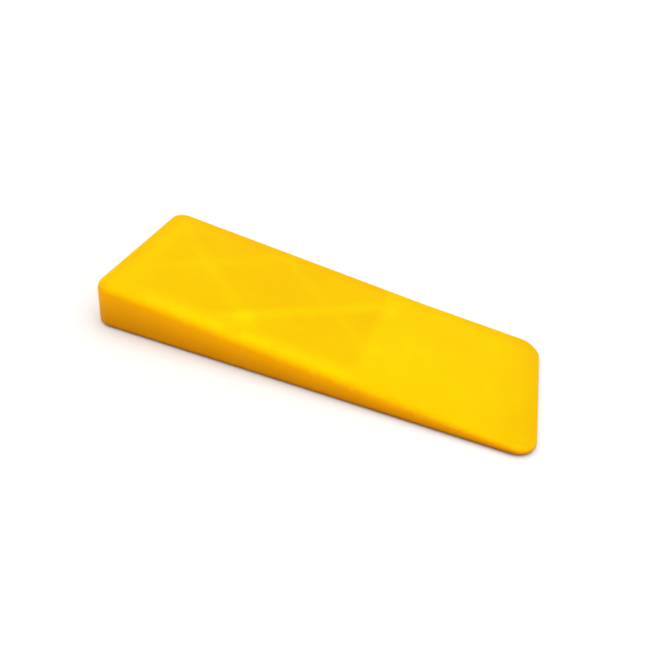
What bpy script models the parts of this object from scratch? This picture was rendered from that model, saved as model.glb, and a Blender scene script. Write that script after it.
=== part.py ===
"""Felling wedge: a single plastic moulding with a cored, cross-ribbed underside.

Metres, +Z up. +X runs from the struck butt to the thin tip and Y is the width. The origin is the
middle of the flat underside, which lies in z = 0. The upper face slopes down from the butt to the
tip. Seven blind pockets open downwards behind the butt, and the ribs that part them make two crosses.
"""

import math

import bmesh
import bpy
from mathutils import Vector

# Outside of the wedge
LENGTH = 0.200
WIDTH = 0.080
BUTT_THICKNESS = 0.022
TIP_THICKNESS = 0.0033
BUTT_CORNER_RADIUS = 0.0077  # in plan
TIP_CORNER_RADIUS = 0.0106
TOP_EDGE_RADIUS = 0.0044  # less where the wedge is too thin for it
BOTTOM_EDGE_RADIUS = 0.0020
LAND = 0.0002  # least height of upright wall between the two edge roundings
CORNER_STEPS = 8
TOP_EDGE_STEPS = 5
BOTTOM_EDGE_STEPS = 3

# Walls that the pockets leave
BUTT_WALL = 0.012
SIDE_WALL = 0.0115
ROOF = 0.004
RIB = 0.0045
POCKET_LENGTH = 0.107

# Crossing and meeting points of the ribs' middle lines, measured from the butt
FIRST_CROSSING = 0.0345
RIB_MEETING = 0.0648
SECOND_CROSSING = 0.0985
RIB_MEETING_HALF_WIDTH = 0.027

# Pocket shape
POCKET_CORNER_RADIUS = 0.0012
POCKET_CORNER_STEPS = 3
POCKET_DRAFT = 0.0003  # how far the walls close in from the mouth to the roof
ROOF_FILLET = 0.0012
ROOF_FILLET_STEPS = 3
CUTTER_OVERRUN = 0.004

BUTT_X = -LENGTH / 2
POCKET_START = BUTT_X + BUTT_WALL
POCKET_END = POCKET_START + POCKET_LENGTH
POCKET_HALF_WIDTH = WIDTH / 2 - SIDE_WALL


def clear_scene():
    for obj in list(bpy.data.objects):
        bpy.data.objects.remove(obj, do_unlink=True)


def top_height(x):
    """Height of the sloping upper face."""
    along = (x - BUTT_X) / LENGTH
    return BUTT_THICKNESS + (TIP_THICKNESS - BUTT_THICKNESS) * along


def edge_radius(x, wanted):
    """An edge rounding's radius, which shrinks where the wedge is thin."""
    return min(wanted, (top_height(x) - LAND) / 2)


def plan_outline():
    """(point, outward normal) pairs round the plan of the wedge, counter-clockwise."""
    thin = BUTT_X + LENGTH * (BUTT_THICKNESS - LAND - 2 * TOP_EDGE_RADIUS) / (BUTT_THICKNESS - TIP_THICKNESS)
    half_length, half_width = LENGTH / 2, WIDTH / 2
    corners = (
        (1, 1, TIP_CORNER_RADIUS, 0),
        (-1, 1, BUTT_CORNER_RADIUS, 90),
        (-1, -1, BUTT_CORNER_RADIUS, 180),
        (1, -1, TIP_CORNER_RADIUS, 270),
    )
    outline = []
    for side_x, side_y, radius, start in corners:
        centre = Vector((side_x * (half_length - radius), side_y * (half_width - radius)))
        arc = []
        for step in range(CORNER_STEPS + 1):
            angle = math.radians(start + 90 * step / CORNER_STEPS)
            normal = Vector((math.cos(angle), math.sin(angle)))
            arc.append((centre + radius * normal, normal))
        outline += arc
        if side_x == side_y:  # the long side that follows this corner thins along its length
            outline.append((Vector((thin, side_y * half_width)), Vector((0, side_y))))
    return outline


def edge_profile():
    """(inset share, height share, is_top) down one section: from the underside, up and over."""
    profile = []
    for step in range(BOTTOM_EDGE_STEPS + 1):
        angle = math.pi / 2 * (1 - step / BOTTOM_EDGE_STEPS)
        profile.append((1 - math.cos(angle), 1 - math.sin(angle), False))
    for step in range(TOP_EDGE_STEPS + 1):
        angle = math.pi / 2 * step / TOP_EDGE_STEPS
        profile.append((1 - math.cos(angle), 1 - math.sin(angle), True))
    return profile


def outer_ring(outline, inset_share, height_share, is_top):
    """One closed line round the wedge at one place on its edge profile."""
    ring = []
    for point, normal in outline:
        radius = edge_radius(point.x, TOP_EDGE_RADIUS if is_top else BOTTOM_EDGE_RADIUS)
        place = point - normal * radius * inset_share
        drop = radius * height_share
        ring.append((place.x, place.y, top_height(place.x) - drop if is_top else drop))
    return ring


def loft(name, rings):
    """A closed mesh object through rings of equal length, capped at both ends."""
    mesh = bmesh.new()
    rows = [[mesh.verts.new(place) for place in ring] for ring in rings]
    for low, high in zip(rows, rows[1:]):
        for index in range(len(low)):
            following = (index + 1) % len(low)
            mesh.faces.new((low[index], low[following], high[following], high[index]))
    mesh.faces.new(rows[0][::-1])
    mesh.faces.new(rows[-1])
    bmesh.ops.recalc_face_normals(mesh, faces=mesh.faces)
    data = bpy.data.meshes.new(name)
    mesh.to_mesh(data)
    mesh.free()
    obj = bpy.data.objects.new(name, data)
    bpy.context.collection.objects.link(obj)
    return obj


def wall_lines():
    """The pocketed area's four sides, each as (a point on it, its direction)."""
    return [
        (Vector((POCKET_START, 0)), Vector((0, 1))),
        (Vector((POCKET_END, 0)), Vector((0, 1))),
        (Vector((0, POCKET_HALF_WIDTH)), Vector((1, 0))),
        (Vector((0, -POCKET_HALF_WIDTH)), Vector((1, 0))),
    ]


def rib_lines(crossing):
    """Middle lines of the two ribs of one cross, each as (a point on it, its direction)."""
    middle = Vector((BUTT_X + crossing, 0))
    lines = []
    for side in (1, -1):
        meeting = Vector((BUTT_X + RIB_MEETING, side * RIB_MEETING_HALF_WIDTH))
        lines.append((middle, (meeting - middle).normalized()))
    return lines


def clip(polygon, point, direction, inside, distance):
    """The part of a polygon on the inside point's side of a line, kept a distance off the line."""
    normal = Vector((-direction.y, direction.x))
    if (inside - point).dot(normal) < 0:
        normal = -normal
    depths = [(corner - point).dot(normal) - distance for corner in polygon]
    kept = []
    for index, corner in enumerate(polygon):
        after = (index + 1) % len(polygon)
        if depths[index] >= 0:
            kept.append(corner)
        if (depths[index] < 0) != (depths[after] < 0):
            share = depths[index] / (depths[index] - depths[after])
            kept.append(corner.lerp(polygon[after], share))
    return kept


def pocket_outline(inside, ribs, inset):
    """Sharp-cornered plan of the pocket round an inside point, drawn in from its walls by inset."""
    far = LENGTH
    polygon = [Vector(corner) for corner in ((-far, -far), (far, -far), (far, far), (-far, far))]
    for point, direction in wall_lines():
        polygon = clip(polygon, point, direction, inside, inset)
    for point, direction in ribs:
        polygon = clip(polygon, point, direction, inside, RIB / 2 + inset)
    return polygon


def rounded(polygon, radius):
    """The polygon with an arc of the given radius at each corner."""
    outline = []
    for index, corner in enumerate(polygon):
        before = (polygon[index - 1] - corner).normalized()
        after = (polygon[(index + 1) % len(polygon)] - corner).normalized()
        half_angle = before.angle(after) / 2
        centre = corner + (before + after).normalized() * radius / math.sin(half_angle)
        first = corner + before * radius / math.tan(half_angle) - centre
        turn = -before.angle_signed(after)
        sweep = math.copysign(math.pi - 2 * half_angle, turn)
        for step in range(POCKET_CORNER_STEPS + 1):
            angle = -sweep * step / POCKET_CORNER_STEPS
            spoke = Vector((
                first.x * math.cos(angle) - first.y * math.sin(angle),
                first.x * math.sin(angle) + first.y * math.cos(angle),
            ))
            outline.append(centre + spoke)
    return outline


def pocket_rings(inside, ribs):
    """Rings of one pocket's cutter: a mouth below the underside, then the filleted roof."""
    mouth = rounded(pocket_outline(inside, ribs, 0), POCKET_CORNER_RADIUS)
    rings = [[(place.x, place.y, -CUTTER_OVERRUN) for place in mouth]]
    for step in range(ROOF_FILLET_STEPS + 1):
        angle = math.pi / 2 * step / ROOF_FILLET_STEPS
        inset = POCKET_DRAFT + ROOF_FILLET * (1 - math.cos(angle))
        drop = ROOF + ROOF_FILLET * (1 - math.sin(angle))
        outline = rounded(pocket_outline(inside, ribs, inset), POCKET_CORNER_RADIUS)
        rings.append([(place.x, place.y, top_height(place.x) - drop) for place in outline])
    return rings


def pocket_places():
    """(inside point, bounding rib lines) for each of the seven pockets."""
    first, second = rib_lines(FIRST_CROSSING), rib_lines(SECOND_CROSSING)
    beside = POCKET_HALF_WIDTH * 0.8  # well into the pockets at either side of a crossing
    places = [
        (Vector((POCKET_START + ROOF, 0)), first),
        (Vector((BUTT_X + RIB_MEETING, 0)), first + second),
        (Vector((POCKET_END - ROOF, 0)), second),
    ]
    for crossing, ribs in ((FIRST_CROSSING, first), (SECOND_CROSSING, second)):
        places += [(Vector((BUTT_X + crossing, side * beside)), ribs) for side in (1, -1)]
    return places


def moulded_plastic():
    material = bpy.data.materials.new("yellow_moulded_plastic")
    material.use_nodes = True
    shader = material.node_tree.nodes["Principled BSDF"]
    shader.inputs["Base Color"].default_value = (0.98, 0.58, 0.004, 1)
    shader.inputs["Roughness"].default_value = 0.42
    shader.inputs["Metallic"].default_value = 0
    return material


def make_wedge_body():
    outline = plan_outline()
    body = loft("wedge_body", [outer_ring(outline, *place) for place in edge_profile()])
    body.data.materials.append(moulded_plastic())
    for index, (inside, ribs) in enumerate(pocket_places()):
        cutter = loft(f"pocket_cutter_{index + 1}", pocket_rings(inside, ribs))
        cutter.hide_render = True
        cutter.display_type = "WIRE"
        cut = body.modifiers.new(cutter.name, "BOOLEAN")
        cut.operation = "DIFFERENCE"
        cut.object = cutter
    body.data.shade_smooth()
    body.data.set_sharp_from_angle(angle=math.radians(30))


clear_scene()
make_wedge_body()
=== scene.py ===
"""Looks of the felling wedge: one fine moulded body that stands for the CAD solid, and a plain studio.

Metres, +Z up, in the CAD model's frame: +X runs from the butt to the tip, and the underside lies in z = 0.
The near side is -Y and the far side is +Y.
"""

import math

import bmesh
import bpy
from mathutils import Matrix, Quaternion, Vector


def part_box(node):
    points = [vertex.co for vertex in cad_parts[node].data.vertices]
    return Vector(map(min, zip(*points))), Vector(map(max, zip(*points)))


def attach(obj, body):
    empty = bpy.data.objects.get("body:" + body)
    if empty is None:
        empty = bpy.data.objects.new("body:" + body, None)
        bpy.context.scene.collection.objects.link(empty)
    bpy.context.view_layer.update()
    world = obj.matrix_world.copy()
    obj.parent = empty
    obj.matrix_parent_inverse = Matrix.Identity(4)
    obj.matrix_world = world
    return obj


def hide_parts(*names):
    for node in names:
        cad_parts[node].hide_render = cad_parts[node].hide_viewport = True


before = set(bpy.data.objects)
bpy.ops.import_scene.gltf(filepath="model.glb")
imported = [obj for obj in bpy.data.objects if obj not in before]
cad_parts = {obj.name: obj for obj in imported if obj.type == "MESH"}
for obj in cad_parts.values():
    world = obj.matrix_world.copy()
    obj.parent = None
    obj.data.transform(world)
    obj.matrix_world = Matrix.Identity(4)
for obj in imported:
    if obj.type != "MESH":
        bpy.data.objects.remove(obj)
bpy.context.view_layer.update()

CAD_NODE = "wedge_body"
LOW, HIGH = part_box(CAD_NODE)

# Outside of the wedge
LENGTH = HIGH.x - LOW.x
WIDTH = HIGH.y - LOW.y
BUTT_X = LOW.x
BUTT_THICKNESS = 0.022
TIP_THICKNESS = 0.0033
BUTT_CORNER_RADIUS = 0.0077  # in plan
TIP_CORNER_RADIUS = 0.0106
TOP_EDGE_RADIUS = 0.0044  # less where the wedge is too thin for it
BOTTOM_EDGE_RADIUS = 0.0020
LAND = 0.0002  # least height of upright wall between the two edge roundings
PARTING_LINE_DEPTH = 0.00004
PARTING_LINE_FOOT = LAND * 0.3  # both heights are above the lower edge's rounding
PARTING_LINE_HEAD = LAND * 0.6

# Pockets in the underside
BUTT_WALL = 0.012
SIDE_WALL = 0.0115
POCKET_LENGTH = 0.107
ROOF = 0.004
RIB = 0.0045
POCKET_CORNER_RADIUS = 0.0018
POCKET_DRAFT = 0.0003  # how far the walls close in from the mouth to the roof
ROOF_FILLET = 0.0012
MOUTH_ROUNDING = 0.0005
POCKET_START = BUTT_X + BUTT_WALL
POCKET_END = POCKET_START + POCKET_LENGTH
POCKET_HALF_WIDTH = WIDTH / 2 - SIDE_WALL
BESIDE_CROSSING = POCKET_HALF_WIDTH * 0.8  # well into the pockets at either side of a crossing

# Crossing and meeting points of the ribs' middle lines, measured from the butt
FIRST_CROSSING = 0.0345
RIB_MEETING = 0.0648
SECOND_CROSSING = 0.0985
RIB_MEETING_HALF_WIDTH = 0.027

# Fineness of the mesh
CORNER_STEPS = 16
TOP_EDGE_STEPS = 10
BOTTOM_EDGE_STEPS = 6
PIECES_ALONG = 120
PIECES_ACROSS = 40
POCKET_SPACING = 0.003
POCKET_CORNER_STEPS = 6
FILLET_STEPS = 5
SHARP_ANGLE = 35


# ---------------------------------------------------------------- outlines


def top_height(x):
    """Height of the sloping upper face."""
    along = (x - BUTT_X) / LENGTH
    return BUTT_THICKNESS + (TIP_THICKNESS - BUTT_THICKNESS) * along


def edge_radius(x, wanted):
    """An edge rounding's radius, which shrinks where the wedge is thin."""
    return min(wanted, (top_height(x) - LAND) / 2)


def between(start, end, pieces):
    """Points strictly between two points, evenly spaced."""
    return [start.lerp(end, step / pieces) for step in range(1, pieces)]


def plan_corner(side_x, side_y, radius, first_angle):
    """(point, outward normal) pairs round one corner of the plan."""
    centre = Vector((side_x * (LENGTH / 2 - radius), side_y * (WIDTH / 2 - radius)))
    arc = []
    for step in range(CORNER_STEPS + 1):
        angle = math.radians(first_angle + 90 * step / CORNER_STEPS)
        normal = Vector((math.cos(angle), math.sin(angle)))
        arc.append((centre + radius * normal, normal))
    return arc


def plan_outline():
    """(point, outward normal) pairs round the plan, counter-clockwise from the tip's far corner."""
    arcs = [
        plan_corner(1, 1, TIP_CORNER_RADIUS, 0),
        plan_corner(-1, 1, BUTT_CORNER_RADIUS, 90),
        plan_corner(-1, -1, BUTT_CORNER_RADIUS, 180),
        plan_corner(1, -1, TIP_CORNER_RADIUS, 270),
    ]
    side_pieces = (PIECES_ALONG, PIECES_ACROSS, PIECES_ALONG, PIECES_ACROSS)
    outline = []
    for arc, following, pieces in zip(arcs, arcs[1:] + arcs[:1], side_pieces):
        last, normal = arc[-1]
        outline += arc
        outline += [(point, normal) for point in between(last, following[0][0], pieces)]
    return outline


def edge_profile():
    """(inset, height, part) up one section of the edge, from the underside to the upper face.

    On the two roundings both numbers are shares of the radius, and on the parting line they are in metres.
    """
    profile = []
    for step in range(BOTTOM_EDGE_STEPS + 1):
        angle = math.pi / 2 * (1 - step / BOTTOM_EDGE_STEPS)
        profile.append((1 - math.cos(angle), 1 - math.sin(angle), "bottom"))
    profile.append((PARTING_LINE_DEPTH, PARTING_LINE_FOOT, "line"))
    profile.append((0, PARTING_LINE_HEAD, "line"))
    for step in range(TOP_EDGE_STEPS + 1):
        angle = math.pi / 2 * step / TOP_EDGE_STEPS
        profile.append((1 - math.cos(angle), 1 - math.sin(angle), "top"))
    return profile


def outer_ring(outline, inset, height, part):
    """One closed line round the wedge at one place on its edge profile."""
    ring = []
    for point, normal in outline:
        bottom = edge_radius(point.x, BOTTOM_EDGE_RADIUS)
        top = edge_radius(point.x, TOP_EDGE_RADIUS)
        if part == "line":
            place = point - normal * inset
            ring.append((place.x, place.y, bottom + height))
        elif part == "bottom":
            place = point - normal * bottom * inset
            ring.append((place.x, place.y, bottom * height))
        else:
            place = point - normal * top * inset
            ring.append((place.x, place.y, top_height(place.x) - top * height))
    return ring


def wall_lines():
    """The pocketed area's four sides, each as (a point on it, its direction)."""
    return [
        (Vector((POCKET_START, 0)), Vector((0, 1))),
        (Vector((POCKET_END, 0)), Vector((0, 1))),
        (Vector((0, POCKET_HALF_WIDTH)), Vector((1, 0))),
        (Vector((0, -POCKET_HALF_WIDTH)), Vector((1, 0))),
    ]


def rib_lines(crossing):
    """Middle lines of the two ribs of one cross, each as (a point on it, its direction)."""
    middle = Vector((BUTT_X + crossing, 0))
    lines = []
    for side in (1, -1):
        meeting = Vector((BUTT_X + RIB_MEETING, side * RIB_MEETING_HALF_WIDTH))
        lines.append((middle, (meeting - middle).normalized()))
    return lines


def clip(polygon, point, direction, inside, distance):
    """The part of a polygon on the inside point's side of a line, kept a distance off the line."""
    normal = Vector((-direction.y, direction.x))
    if (inside - point).dot(normal) < 0:
        normal = -normal
    depths = [(corner - point).dot(normal) - distance for corner in polygon]
    kept = []
    for index, corner in enumerate(polygon):
        after = (index + 1) % len(polygon)
        if depths[index] >= 0:
            kept.append(corner)
        if (depths[index] < 0) != (depths[after] < 0):
            share = depths[index] / (depths[index] - depths[after])
            kept.append(corner.lerp(polygon[after], share))
    return kept


def pocket_polygon(inside, ribs, inset):
    """Sharp-cornered plan of the pocket round an inside point, drawn in from its walls by inset."""
    far = LENGTH
    polygon = [Vector(corner) for corner in ((-far, -far), (far, -far), (far, far), (-far, far))]
    for point, direction in wall_lines():
        polygon = clip(polygon, point, direction, inside, inset)
    for point, direction in ribs:
        polygon = clip(polygon, point, direction, inside, RIB / 2 + inset)
    return polygon


def corner_arc(before, corner, after, radius):
    """Points of the arc that rounds one corner of a counter-clockwise polygon."""
    to_before = (before - corner).normalized()
    to_after = (after - corner).normalized()
    half_angle = to_before.angle(to_after) / 2
    centre = corner + (to_before + to_after).normalized() * radius / math.sin(half_angle)
    first = corner + to_before * radius / math.tan(half_angle) - centre
    sweep = math.pi - 2 * half_angle
    arc = []
    for step in range(POCKET_CORNER_STEPS + 1):
        turn = sweep * step / POCKET_CORNER_STEPS
        cos = math.cos(turn)
        sin = math.sin(turn)
        arc.append(centre + Vector((first.x * cos - first.y * sin, first.x * sin + first.y * cos)))
    return arc


def pocket_outline(inside, ribs, inset, side_pieces):
    """Rounded plan of a pocket, with each straight side cut into its number of pieces."""
    polygon = pocket_polygon(inside, ribs, inset)
    radius = POCKET_CORNER_RADIUS - inset
    arcs = [
        corner_arc(polygon[index - 1], corner, polygon[(index + 1) % len(polygon)], radius)
        for index, corner in enumerate(polygon)
    ]
    outline = []
    for arc, following, pieces in zip(arcs, arcs[1:] + arcs[:1], side_pieces):
        outline += arc
        outline += between(arc[-1], following[0], pieces)
    return outline


def pocket_side_pieces(inside, ribs):
    """Number of pieces that each side of a pocket is cut into."""
    polygon = pocket_polygon(inside, ribs, 0)
    sides = [after - corner for corner, after in zip(polygon, polygon[1:] + polygon[:1])]
    return [max(1, round(side.length / POCKET_SPACING)) for side in sides]


def pocket_rings(inside, ribs):
    """Rings of one pocket, from the rounded mouth in the underside to the edge of its flat roof."""
    side_pieces = pocket_side_pieces(inside, ribs)
    angles = [math.pi / 2 * step / FILLET_STEPS for step in range(FILLET_STEPS + 1)]
    rings = []
    for angle in angles:
        inset = MOUTH_ROUNDING * (math.sin(angle) - 1)
        height = MOUTH_ROUNDING * (1 - math.cos(angle))
        outline = pocket_outline(inside, ribs, inset, side_pieces)
        rings.append([(place.x, place.y, height) for place in outline])
    for angle in angles:
        inset = POCKET_DRAFT + ROOF_FILLET * (1 - math.cos(angle))
        drop = ROOF + ROOF_FILLET * (1 - math.sin(angle))
        outline = pocket_outline(inside, ribs, inset, side_pieces)
        rings.append([(place.x, place.y, top_height(place.x) - drop) for place in outline])
    return rings


def pocket_places():
    """(inside point, bounding rib lines) for each of the seven pockets."""
    first = rib_lines(FIRST_CROSSING)
    second = rib_lines(SECOND_CROSSING)
    places = [
        (Vector((POCKET_START + ROOF, 0)), first),
        (Vector((BUTT_X + RIB_MEETING, 0)), first + second),
        (Vector((POCKET_END - ROOF, 0)), second),
    ]
    for crossing, ribs in ((FIRST_CROSSING, first), (SECOND_CROSSING, second)):
        places += [(Vector((BUTT_X + crossing, side * BESIDE_CROSSING)), ribs) for side in (1, -1)]
    return places


# ---------------------------------------------------------------- small moulding marks

# Each mark is a turned profile of (radius, height) pairs, from its edge inwards
PIN_MARK = ((0.0030, 0), (0.00285, 0.00012))
RIB_PIN_MARK = ((0.0024, 0), (0.00225, 0.00012))
GATE_MARK = ((0.0045, 0), (0.0041, 0.0007), (0.0014, 0.0007), (0.0012, 0.00025), (0.0009, 0.0002))
MARK_STEPS = 32
GATE_X = 0.058
PIN_ROWS = (0.036, 0.078)
PIN_HALF_WIDTH = 0.024
SINK_DEPTH = 0.00006
SINK_SPREAD = 0.0028
SINK_FADE = 0.006


def round_marks():
    """(centre, profile) of each round mark that the mould leaves in the underside."""
    marks = [(Vector((x, side * PIN_HALF_WIDTH)), PIN_MARK) for x in PIN_ROWS for side in (1, -1)]
    for crossing in (FIRST_CROSSING, SECOND_CROSSING):
        marks.append((Vector((BUTT_X + crossing, 0)), RIB_PIN_MARK))
    marks.append((Vector((GATE_X, 0)), GATE_MARK))
    return marks


def mark_rings(centre, profile):
    """Rings of one round mark, from its edge in the underside inwards."""
    rings = []
    for radius, height in profile:
        ring = []
        for step in range(MARK_STEPS):
            angle = 2 * math.pi * step / MARK_STEPS
            place = centre + radius * Vector((math.cos(angle), math.sin(angle)))
            ring.append((place.x, place.y, height))
        rings.append(ring)
    return rings


def rib_distance(x, y):
    """Distance in plan to the nearest rib's middle line."""
    distances = []
    for crossing in (FIRST_CROSSING, SECOND_CROSSING):
        run = abs(RIB_MEETING - crossing)
        rise = RIB_MEETING_HALF_WIDTH
        off_line = abs(y) * run - abs(x - BUTT_X - crossing) * rise
        distances.append(abs(off_line) / math.hypot(run, rise))
    return min(distances)


def sink(x, y):
    """Depth of the faint hollow that thick plastic leaves in the upper face as it cools."""
    fade_along = min(1.0, (POCKET_END - x) / SINK_FADE, (x - BUTT_X) / SINK_FADE)
    fade_across = min(1.0, (POCKET_HALF_WIDTH - abs(y)) / SINK_FADE)
    near = math.exp(-((rib_distance(x, y) / SINK_SPREAD) ** 2))
    return SINK_DEPTH * near * max(0.0, fade_along) * max(0.0, fade_across)


# ---------------------------------------------------------------- mesh


def skin(mesh, rings):
    """Adds rows of four-sided faces through rings of equal length, and returns the first and last ring."""
    rows = [[mesh.verts.new(place) for place in ring] for ring in rings]
    for low, high in zip(rows, rows[1:]):
        for index in range(len(low)):
            following = (index + 1) % len(low)
            mesh.faces.new((low[index], low[following], high[following], high[index]))
    return rows[0], rows[-1]


def sunk_points(mesh, start, end):
    """New points across the upper face between two points of its edge, lowered by the sink marks."""
    points = []
    for place in between(start.co, end.co, PIECES_ACROSS):
        place.z -= sink(place.x, place.y)
        points.append(mesh.verts.new(place))
    return points


def cover_top(mesh, ring):
    """Covers the upper face with rows that run across it, from the tip to the butt."""
    rows = 2 * (CORNER_STEPS + 1) + PIECES_ALONG - 1
    end_points = PIECES_ACROSS - 1
    far_side = ring[:rows]
    butt_end = ring[rows:rows + end_points]
    near_side = ring[rows + end_points:2 * rows + end_points][::-1]
    tip_end = ring[-end_points:][::-1]
    middles = [sunk_points(mesh, *ends) for ends in zip(far_side[1:-1], near_side[1:-1])]
    middles = [tip_end, *middles, butt_end]
    grid = [[start, *middle, end] for start, middle, end in zip(far_side, middles, near_side)]
    for row, following in zip(grid, grid[1:]):
        for index in range(PIECES_ACROSS):
            mesh.faces.new((row[index], following[index], following[index + 1], row[index + 1]))


def ring_edges(mesh, ring):
    """The edges between neighbours in a closed ring of points."""
    return [mesh.edges.get((start, end)) for start, end in zip(ring, ring[1:] + ring[:1])]


def add_object(name, mesh):
    """Puts a finished bmesh into the scene as an object."""
    data = bpy.data.meshes.new(name)
    mesh.to_mesh(data)
    mesh.free()
    obj = bpy.data.objects.new(name, data)
    bpy.context.scene.collection.objects.link(obj)
    return obj


def make_body():
    """The whole moulding as one closed mesh."""
    mesh = bmesh.new()
    outline = plan_outline()
    lowest, highest = skin(mesh, [outer_ring(outline, *place) for place in edge_profile()])
    cover_top(mesh, highest)
    openings = [pocket_rings(inside, ribs) for inside, ribs in pocket_places()]
    openings += [mark_rings(centre, profile) for centre, profile in round_marks()]
    flat_edges = ring_edges(mesh, lowest)
    for rings in openings:
        mouth, roof = skin(mesh, rings)
        mesh.faces.new(roof)
        flat_edges += ring_edges(mesh, mouth)
    bmesh.ops.triangle_fill(mesh, edges=flat_edges, use_beauty=True, normal=(0, 0, -1))
    bmesh.ops.recalc_face_normals(mesh, faces=mesh.faces)
    body = add_object("moulded_wedge", mesh)
    body.data.shade_smooth()
    body.data.set_sharp_from_angle(angle=math.radians(SHARP_ANGLE))
    flat_faces_first = body.modifiers.new("flat_faces_first", "WEIGHTED_NORMAL")
    flat_faces_first.keep_sharp = True
    return body


# ---------------------------------------------------------------- material

# What shows through the upper face is painted light: light that scatters inside the plastic, brighter over
# the ribs and solid plastic and darker over the pockets, painted into the colour. Plastic looks paler the
# deeper it is, so a depth from 0, the thin roof over a pocket, to 1 picks the colour. Places along the
# wedge are distances from the butt, and places across it are values of y. Two numbers say where a border
# starts and ends. Four say where a band starts, is full, starts to fade and has ended.
POCKETS_ALONG = (0.0100, 0.0240, 0.1165, 0.1215)
POCKETS_NEAR_SIDE = (-0.0305, -0.0265)
POCKET_DEPTH = 0.155
SHOWN_SHIFT = 0.0043  # the ribs show this far off the middle, towards the far side
RIB_BLUR = (0.0003, 0.0060)  # distances from a rib's middle line between which it fades
# Painted light: how brightly each rib shows through, which differs with the way the rib runs.
RIB_DEPTHS = (  # (crossing, side towards which the rib runs as it leaves the butt, depth)
    (FIRST_CROSSING, 1, 0.11),
    (FIRST_CROSSING, -1, 0.10),
    (SECOND_CROSSING, 1, 0.19),
    (SECOND_CROSSING, -1, 0.08),
)
# Painted glow: more plastic where ribs run into solid plastic sends more scattered light back.
NODES = (  # (distance from the butt, y, reach, depth) of the spots where ribs run into solid plastic
    (0.0658, -0.0236, 0.0085, 0.28),
    (0.1240, 0.0205, 0.0070, 0.18),
    (0.1240, -0.0130, 0.0060, 0.10),
)
# Painted light and shade of the solid plastic: lighter just inside the butt, darker towards the tip.
BUTT_DEPTH = 0.05
SOLID_CHANGES = (  # (start, end, change in depth) along the solid plastic
    (0.0030, 0.0095, 0.22),
    (0.1760, 0.1900, -0.13),
    (0.1900, 0.1990, -0.16),
)
# Painted glow of scattered light in the solid nose.
NOSE_START = (0.1140, 0.1220)
NOSE_RISE = 0.05
NOSE_GLOW_ALONG = (0.1140, 0.1220, 0.1480, 0.1720)
NOSE_GLOW_ACROSS = (-0.0380, -0.0260, -0.0010, 0.0080)
NOSE_GLOW = 0.05
# Painted light: a paler band along the near rim, where the near wall is lit through the near side face.
NEAR_RIM_ALONG = (0.0160, 0.0340, 0.1120, 0.1300)
NEAR_RIM_GAP = (0.0585, 0.0625, 0.0665, 0.0705)  # along the wedge
NEAR_RIM_ACROSS = (-0.0395, -0.0362, -0.0345, -0.0300)
NEAR_RIM_PAINTED_LIGHT = 0.18
# Painted shade on the far rounded edge, which faces away from the light.
FAR_EDGE_FADE = (0.0290, 0.0375)
FAR_EDGE_PAINTED_SHADE = -0.20
PAINTED_SHADE_ACROSS = -1.8  # painted shade: change in depth per metre towards the far side, which gets less light

# Unevenness of the colour: lumps to the metre, and how strongly they change the shown depth
NOISE_MIDDLE = 0.5
SMOOTH_DETAIL = 1.0
MOTTLING_LUMPS = 40
MOTTLING = 0.25
SPECKLING_LUMPS = 1100
SPECKLING = 0.20
WALL_UNEVENNESS = 0.6  # how much of the mottling and speckling the walls show

# Colours. The bounds called upward say how far the surface faces up, from -1 to 1.
THIN_COLOUR = (0.905, 0.498, 0.001, 1)
DEEP_COLOUR = (1.000, 0.805, 0.001, 1)
# The walls' colours are painted shade: the same plastic as the upper face, darker and more orange where
# less light falls, deepest at the foot.
SHADED_WALL_TOP_COLOUR = (0.970, 0.430, 0.001, 1)
SHADED_WALL_FOOT_COLOUR = (0.660, 0.250, 0.001, 1)
SHADED_COLOUR = (0.250, 0.070, 0.001, 1)
RUBBED_COLOUR = (1.000, 0.760, 0.080, 1)
UPPER_UPWARD = (0.2, 1.0)  # from the walls' painted shade to the upper face's colour
SHADED_HEIGHT = (0.0004, 0.0032)  # the lower edge's darkening fades out between these heights
SHADED_UPWARD = (-0.97, -0.75)  # keeps the darkening off the flat underside

# Rubbed edges and scuffs
RUBBED_UPWARD = (0.15, 0.40, 0.80, 0.98)  # the rounded upper edges
RUBBED_SHARE = 0.10
FLECK_LUMPS = 420
FLECK_DETAIL = 5.0
FLECK_RANGE = (0.50, 0.70)
SCUFF_STRETCH = (0.02, 1.0, 1.0)
SCUFF_LUMPS = 1500
SCUFF_RANGE = (0.64, 0.74)
SCUFF_DEPTH = 0.000015
SCUFF_PATCH_LUMPS = 45
SCUFF_PATCH_RANGE = (0.45, 0.65)

# Relief and gloss
BUMP_DISTANCE = 1.0  # makes the relief's heights count in metres
SURFACE_LUMPS = ((1500, 0.000120), (420, 0.000050), (70, 0.000150))  # (lumps to the metre, their height)
ROUGHNESS = 0.30
ROUGHNESS_CHANGE = 0.20
ROUGHNESS_LUMPS = 300
ROUGHNESS_DETAIL = 4.0
RUBBED_ROUGHNESS = 0.12
SCUFF_ROUGHNESS = 0.15
PLASTIC_SETTINGS = {
    "Specular IOR Level": 0.03,
    "Specular Tint": (1.0, 0.75, 0.05, 1),
    "Subsurface Weight": 0.8,
    "Subsurface Radius": (1.0, 0.35, 0.05),
    "Subsurface Scale": 0.004,
}


def fill_inputs(tree, node, inputs):
    """Fills in a node's inputs, and links those that are given as a socket."""
    for key, value in inputs.items():
        if isinstance(value, bpy.types.NodeSocket):
            tree.links.new(value, node.inputs[key])
        else:
            node.inputs[key].default_value = value


def new_node(tree, kind, inputs=(), **settings):
    """A new shader node with some of its settings and inputs filled in."""
    made = tree.nodes.new(kind)
    for name, value in settings.items():
        setattr(made, name, value)
    fill_inputs(tree, made, dict(inputs))
    return made


def calc(tree, operation, *values):
    """The result of a Math node."""
    made = new_node(tree, "ShaderNodeMath", dict(enumerate(values)), operation=operation)
    return made.outputs[0]


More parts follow.
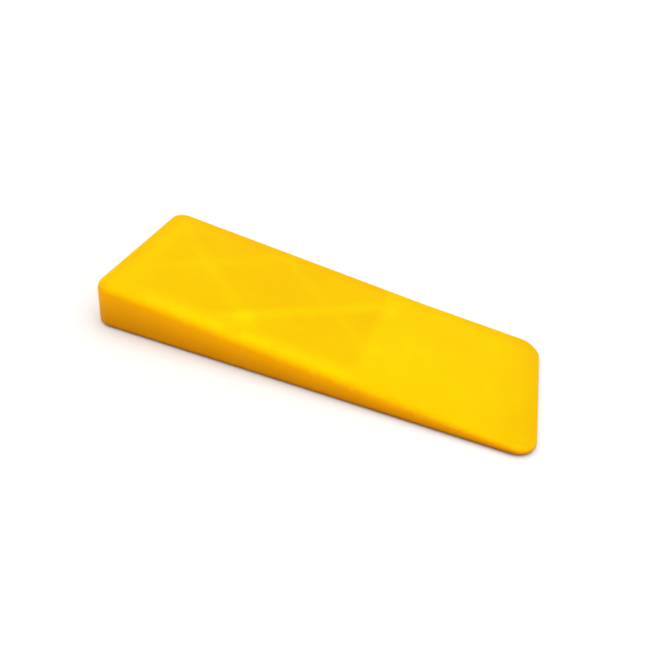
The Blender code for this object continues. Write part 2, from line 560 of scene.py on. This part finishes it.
def product(tree, first, *others):
    """The product of two or more values."""
    for other in others:
        first = calc(tree, "MULTIPLY", first, other)
    return first


def largest(tree, first, *others):
    """The largest of two or more values."""
    for other in others:
        first = calc(tree, "MAXIMUM", first, other)
    return first


def smooth_step(tree, value, start, end, first=0.0, last=1.0):
    """Runs smoothly from first to last as value goes from start to end."""
    inputs = {0: value, 1: start, 2: end, 3: first, 4: last}
    made = new_node(tree, "ShaderNodeMapRange", inputs, interpolation_type="SMOOTHSTEP")
    return made.outputs[0]


def window(tree, value, bounds):
    """Runs smoothly from 0 to 1 between the first two bounds and back to 0 between the last two."""
    rise = smooth_step(tree, value, *bounds[:2])
    return product(tree, rise, smooth_step(tree, value, *bounds[2:], 1.0, 0.0))


def noise(tree, place, scale, detail=2.0):
    """A noise value round 0.5, with about scale lumps to the metre."""
    made = new_node(tree, "ShaderNodeTexNoise", {"Vector": place, "Scale": scale, "Detail": detail})
    return made.outputs["Fac"]


def blend(tree, share, first, second):
    """Mixes two colours, which are inputs 6 and 7 and output 2 of a Mix node."""
    made = new_node(tree, "ShaderNodeMix", {0: share, 6: first, 7: second}, data_type="RGBA")
    return made.outputs[2]


def blend_numbers(tree, share, first, second):
    """Mixes two numbers, which are inputs 2 and 3 and output 0 of a Mix node."""
    made = new_node(tree, "ShaderNodeMix", {0: share, 2: first, 3: second})
    return made.outputs[0]


def rib_glow(tree, from_butt, across):
    """How much the ribs raise the depth that shows through the upper face: painted light scattered in
    them.
    """
    ridges = []
    for crossing, side, depth in RIB_DEPTHS:
        run = abs(RIB_MEETING - crossing)
        rise = RIB_MEETING_HALF_WIDTH
        length = math.hypot(run, rise)
        along = calc(tree, "SUBTRACT", from_butt, crossing)
        climb = calc(tree, "MULTIPLY", along, -side * rise / length)
        distance = calc(tree, "ABSOLUTE", calc(tree, "MULTIPLY_ADD", across, run / length, climb))
        ridges.append(smooth_step(tree, distance, *RIB_BLUR, depth, 0.0))
    return largest(tree, *ridges)


def node_glow(tree, from_butt, y):
    """How much the spots where ribs run into solid plastic raise the depth: a painted glow of scattered
    light.
    """
    spots = []
    for centre, centre_y, reach, depth in NODES:
        along = calc(tree, "POWER", calc(tree, "SUBTRACT", from_butt, centre), 2)
        across = calc(tree, "POWER", calc(tree, "SUBTRACT", y, centre_y), 2)
        distance = calc(tree, "SQRT", calc(tree, "ADD", along, across))
        spots.append(smooth_step(tree, distance, 0.0, reach, depth, 0.0))
    return largest(tree, *spots)


def nose_depth(tree, from_butt, y):
    """How much deeper the solid nose looks, with a painted glow. It looks level across, so this undoes the
    painted shade across the wedge there.
    """
    level = calc(tree, "MULTIPLY_ADD", y, -PAINTED_SHADE_ACROSS, NOSE_RISE)
    nose = product(tree, level, smooth_step(tree, from_butt, *NOSE_START))
    along = window(tree, from_butt, NOSE_GLOW_ALONG)
    across = window(tree, y, NOSE_GLOW_ACROSS)
    return calc(tree, "ADD", nose, product(tree, along, across, NOSE_GLOW))


def painted_near_rim_light(tree, from_butt, y):
    """Painted light on the near wall, lit through the near side face: how much deeper it looks, in two
    stretches with a gap where the ribs meet it.
    """
    along = window(tree, from_butt, NEAR_RIM_ALONG)
    across = window(tree, y, NEAR_RIM_ACROSS)
    gap = calc(tree, "SUBTRACT", 1.0, window(tree, from_butt, NEAR_RIM_GAP))
    return product(tree, along, across, gap, NEAR_RIM_PAINTED_LIGHT)


def solid_depth(tree, from_butt, y):
    """How deep the solid butt, walls and nose look, as painted light and shade."""
    depth = BUTT_DEPTH
    for start, end, change in SOLID_CHANGES:
        depth = calc(tree, "ADD", smooth_step(tree, from_butt, start, end, 0.0, change), depth)
    depth = calc(tree, "ADD", depth, nose_depth(tree, from_butt, y))
    return calc(tree, "ADD", depth, painted_near_rim_light(tree, from_butt, y))


def painted_show_through(tree, place):
    """How deep the plastic looks below a point of the upper face, from 0 where it is thin to 1: painted
    light and shade, darker towards the far side and on its rounded edge.
    """
    split = new_node(tree, "ShaderNodeSeparateXYZ", {0: place})
    from_butt = calc(tree, "SUBTRACT", split.outputs[0], BUTT_X)
    y = split.outputs[1]
    along_pockets = window(tree, from_butt, POCKETS_ALONG)
    pocketed = product(tree, along_pockets, smooth_step(tree, y, *POCKETS_NEAR_SIDE))
    ribs = rib_glow(tree, from_butt, calc(tree, "SUBTRACT", y, SHOWN_SHIFT))
    open_depth = calc(tree, "ADD", ribs, POCKET_DEPTH)
    depth = blend_numbers(tree, pocketed, solid_depth(tree, from_butt, y), open_depth)
    depth = calc(tree, "ADD", depth, node_glow(tree, from_butt, y))
    depth = calc(tree, "ADD", depth, smooth_step(tree, y, *FAR_EDGE_FADE, 0.0, FAR_EDGE_PAINTED_SHADE))
    return calc(tree, "MULTIPLY_ADD", y, PAINTED_SHADE_ACROSS, depth)


def unevenness(tree, place):
    """Soft mottling and fine specks in the plastic's colour, round 0."""
    mottles = calc(tree, "SUBTRACT", noise(tree, place, MOTTLING_LUMPS, SMOOTH_DETAIL), NOISE_MIDDLE)
    mottles = calc(tree, "MULTIPLY", mottles, MOTTLING)
    specks = calc(tree, "SUBTRACT", noise(tree, place, SPECKLING_LUMPS), NOISE_MIDDLE)
    specks = calc(tree, "MULTIPLY", specks, SPECKLING)
    return calc(tree, "ADD", mottles, specks)


def shaded_wall_colour(tree, place, upward, uneven):
    """The walls' colour, painted as the plastic in shade, which deepens towards their foot and most at the
    rounded lower edge.
    """
    split = new_node(tree, "ShaderNodeSeparateXYZ", {0: place})
    slope = (TIP_THICKNESS - BUTT_THICKNESS) / LENGTH
    top = calc(tree, "MULTIPLY_ADD", split.outputs[0], slope, top_height(0))
    height = calc(tree, "DIVIDE", split.outputs[2], top)
    height = calc(tree, "MULTIPLY_ADD", uneven, WALL_UNEVENNESS, height)
    colour = blend(tree, smooth_step(tree, height, 0.0, 1.0), SHADED_WALL_FOOT_COLOUR, SHADED_WALL_TOP_COLOUR)
    low = smooth_step(tree, split.outputs[2], *SHADED_HEIGHT, 1.0, 0.0)
    shaded = product(tree, low, smooth_step(tree, upward, *SHADED_UPWARD))
    return blend(tree, shaded, colour, SHADED_COLOUR)


def rubbed_edge(tree, place, upward):
    """Flecks along the rounded upper edges, where handling rubs the plastic, from 0 to 1."""
    flecks = smooth_step(tree, noise(tree, place, FLECK_LUMPS, FLECK_DETAIL), *FLECK_RANGE)
    return product(tree, window(tree, upward, RUBBED_UPWARD), flecks)


def scuffs(tree, place):
    """Thin faint marks along the wedge, in patches, from 0 to 1."""
    mapping = new_node(tree, "ShaderNodeMapping", {"Vector": place, "Scale": SCUFF_STRETCH})
    lines = noise(tree, mapping.outputs[0], SCUFF_LUMPS, SMOOTH_DETAIL)
    lines = smooth_step(tree, lines, *SCUFF_RANGE)
    patches = noise(tree, place, SCUFF_PATCH_LUMPS, SMOOTH_DETAIL)
    patches = smooth_step(tree, patches, *SCUFF_PATCH_RANGE)
    return product(tree, lines, patches)


def surface_relief(tree, place, marks):
    """Height of the moulded surface in metres: a fine grain, slight waves and the marks on it."""
    relief = calc(tree, "MULTIPLY", marks, -SCUFF_DEPTH)
    for lumps, height in SURFACE_LUMPS:
        relief = calc(tree, "MULTIPLY_ADD", noise(tree, place, lumps), height, relief)
    return relief


def surface_colour(tree, place, upward, rubbed):
    """The colour of the upper face, the walls in painted shade and the rubbed edges between them."""
    uneven = unevenness(tree, place)
    depth = calc(tree, "ADD", painted_show_through(tree, place), uneven)
    upper = blend(tree, depth, THIN_COLOUR, DEEP_COLOUR)
    walls = shaded_wall_colour(tree, place, upward, uneven)
    colour = blend(tree, smooth_step(tree, upward, *UPPER_UPWARD), walls, upper)
    return blend(tree, calc(tree, "MULTIPLY", rubbed, RUBBED_SHARE), colour, RUBBED_COLOUR)


def surface_roughness(tree, place, rubbed, marks):
    """Roughness that varies softly, and is higher on rubbed edges and scuffs."""
    soft = noise(tree, place, ROUGHNESS_LUMPS, ROUGHNESS_DETAIL)
    roughness = calc(tree, "MULTIPLY_ADD", soft, ROUGHNESS_CHANGE, ROUGHNESS)
    roughness = calc(tree, "MULTIPLY_ADD", rubbed, RUBBED_ROUGHNESS, roughness)
    return calc(tree, "MULTIPLY_ADD", marks, SCUFF_ROUGHNESS, roughness)


def moulded_plastic():
    """The yellow, slightly translucent plastic."""
    material = bpy.data.materials.new("yellow_moulded_plastic")
    material.use_nodes = True
    tree = material.node_tree
    coordinates = new_node(tree, "ShaderNodeTexCoord")
    place = coordinates.outputs["Object"]
    upward = new_node(tree, "ShaderNodeSeparateXYZ", {0: coordinates.outputs["Normal"]}).outputs[2]
    rubbed = rubbed_edge(tree, place, upward)
    marks = scuffs(tree, place)
    relief = surface_relief(tree, place, marks)
    bump = new_node(tree, "ShaderNodeBump", {"Distance": BUMP_DISTANCE, "Height": relief})
    inputs = {
        "Base Color": surface_colour(tree, place, upward, rubbed),
        "Roughness": surface_roughness(tree, place, rubbed, marks),
        "Normal": bump.outputs[0],
        **PLASTIC_SETTINGS,
    }
    fill_inputs(tree, tree.nodes["Principled BSDF"], inputs)
    return material


# ---------------------------------------------------------------- studio

CAMERA_AZIMUTH = 10.28
CAMERA_ELEVATION = 37.15
CAMERA_ROLL = 10.54
CAMERA_DISTANCE = 0.28878
CAMERA_AIM = Vector((-0.00102, -0.00242, 0.00709))
CAMERA_LENS = 33.811
CAMERA_CLIP_START = 0.01

FLOOR_RADIUS = 3.0
FLOOR_SEGMENTS = 64
FLOOR_GAP = 0.0001  # keeps the floor just clear of the underside
FLOOR_SETTINGS = {"Base Color": (0.95, 0.95, 0.95, 1), "Roughness": 0.9, "Specular IOR Level": 0.1}
WHITE = (1, 1, 1, 1)
ROOM_LIGHT = 0.42  # both lights are given as shares of what makes a white surface fully bright
OVERHEAD_LIGHT = 0.68
OVERHEAD_SPREAD = 90
OVERHEAD_TILT = 7  # the light comes a little from the near side


def make_camera():
    azimuth = math.radians(CAMERA_AZIMUTH)
    elevation = math.radians(CAMERA_ELEVATION)
    back = Vector((
        math.sin(azimuth) * math.cos(elevation),
        -math.cos(azimuth) * math.cos(elevation),
        math.sin(elevation),
    ))
    camera = bpy.data.objects.new("camera", bpy.data.cameras.new("camera"))
    camera.data.lens = CAMERA_LENS
    camera.data.clip_start = CAMERA_CLIP_START
    camera.location = CAMERA_AIM + back * CAMERA_DISTANCE
    camera.rotation_mode = "QUATERNION"
    level = (-back).to_track_quat("-Z", "Y")
    camera.rotation_quaternion = Quaternion(back, math.radians(CAMERA_ROLL)) @ level
    bpy.context.scene.collection.objects.link(camera)
    bpy.context.scene.camera = camera


def make_floor():
    mesh = bmesh.new()
    bmesh.ops.create_circle(mesh, cap_ends=True, radius=FLOOR_RADIUS, segments=FLOOR_SEGMENTS)
    floor = add_object("floor", mesh)
    floor.location.z = -FLOOR_GAP
    material = bpy.data.materials.new("pale_floor")
    material.use_nodes = True
    fill_inputs(material.node_tree, material.node_tree.nodes["Principled BSDF"], FLOOR_SETTINGS)
    floor.data.materials.append(material)


def make_room_light():
    """Even light from all round, from a room that the camera sees as white."""
    world = bpy.data.worlds.new("studio")
    world.use_nodes = True
    tree = world.node_tree
    seen = new_node(tree, "ShaderNodeLightPath").outputs["Is Camera Ray"]
    strength = calc(tree, "MULTIPLY_ADD", seen, 1 - ROOM_LIGHT, ROOM_LIGHT)
    fill_inputs(tree, tree.nodes["Background"], {"Color": WHITE, "Strength": strength})
    bpy.context.scene.world = world


def make_overhead_light():
    lamp = bpy.data.lights.new("overhead_light", "SUN")
    lamp.angle = math.radians(OVERHEAD_SPREAD)
    lamp.energy = OVERHEAD_LIGHT * math.pi
    light = bpy.data.objects.new("overhead_light", lamp)
    light.rotation_euler.x = math.radians(OVERHEAD_TILT)
    bpy.context.scene.collection.objects.link(light)


make_camera()
make_floor()
make_room_light()
make_overhead_light()
bpy.context.scene.view_settings.view_transform = "Standard"

body = make_body()
body.data.materials.append(moulded_plastic())
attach(body, "root")
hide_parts(CAD_NODE)
